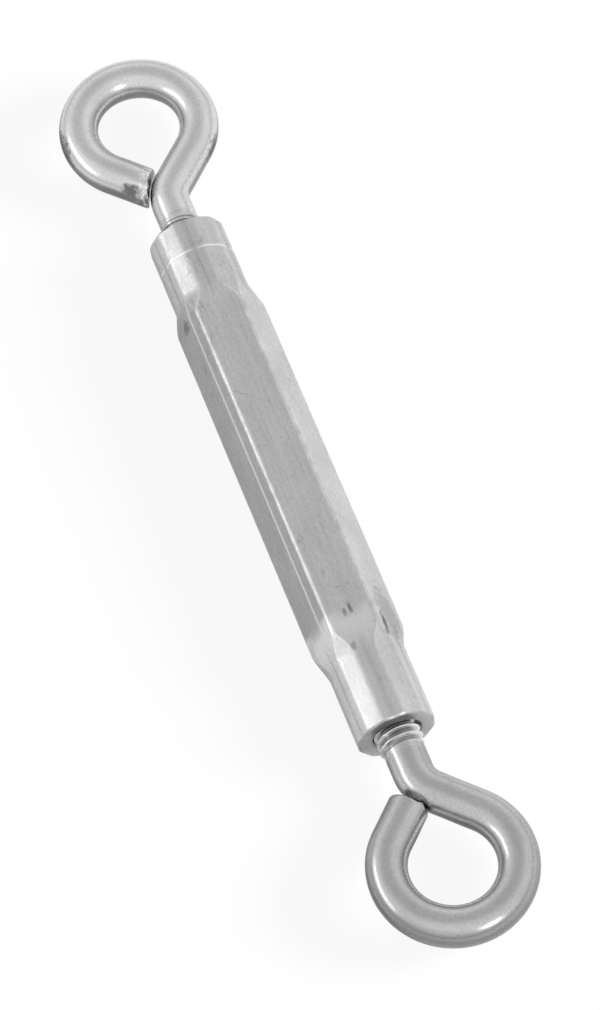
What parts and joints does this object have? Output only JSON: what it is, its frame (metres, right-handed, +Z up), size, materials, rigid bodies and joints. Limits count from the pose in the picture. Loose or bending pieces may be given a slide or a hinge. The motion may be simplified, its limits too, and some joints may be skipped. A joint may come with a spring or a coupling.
{
  "type": "rigging turnbuckle",
  "caption": "Eye-and-eye rigging turnbuckle: a closed hexagonal barrel with round tapped collars, and right- and left-hand bent-wire eye bolts.",
  "frame": {"origin": "middle of the barrel's lower flat, on the surface it lies on", "axes": "+X along the barrel to the right-hand threaded end, +Z up from the surface it lies on"},
  "size_m": [0.1832, 0.0286, 0.0143],
  "materials": {
    "galvanised_barrel": "drawn steel tube with a dull, light zinc coat",
    "bright_zinc_wire": "bright zinc-plated round steel wire"
  },
  "bodies": {
    "barrel": {"hex_barrel": "galvanised_barrel"},
    "right_hand_lead": {"right_hand_point": "bright_zinc_wire"},
    "right_hand_bolt": {"right_hand_eye_bolt": "bright_zinc_wire"},
    "left_hand_lead": {"left_hand_point": "bright_zinc_wire"},
    "left_hand_bolt": {"left_hand_eye_bolt": "bright_zinc_wire"}
  },
  "joints": [
    {"name": "right_hand_advance", "type": "slide", "parent": "barrel", "child": "right_hand_lead", "axis": [1, 0, 0], "range_m": [-0.00353, 0.03669]},
    {"name": "right_hand_turn", "type": "hinge", "parent": "right_hand_lead", "child": "right_hand_bolt", "pos_m": [0, 0, 0.00715], "axis": [1, 0, 0], "range_deg": [-900, 9360]},
    {"name": "left_hand_advance", "type": "slide", "parent": "barrel", "child": "left_hand_lead", "axis": [-1, 0, 0], "range_m": [-0.00353, 0.03669]},
    {"name": "left_hand_turn", "type": "hinge", "parent": "left_hand_lead", "child": "left_hand_bolt", "pos_m": [0, 0, 0.00715], "axis": [1, 0, 0], "range_deg": [-900, 9360]}
  ],
  "couplings": [
    {"joint": "right_hand_turn", "follows": "right_hand_advance", "rad_per_m": 4452.7},
    {"joint": "left_hand_turn", "follows": "left_hand_advance", "rad_per_m": 4452.7}
  ]
}
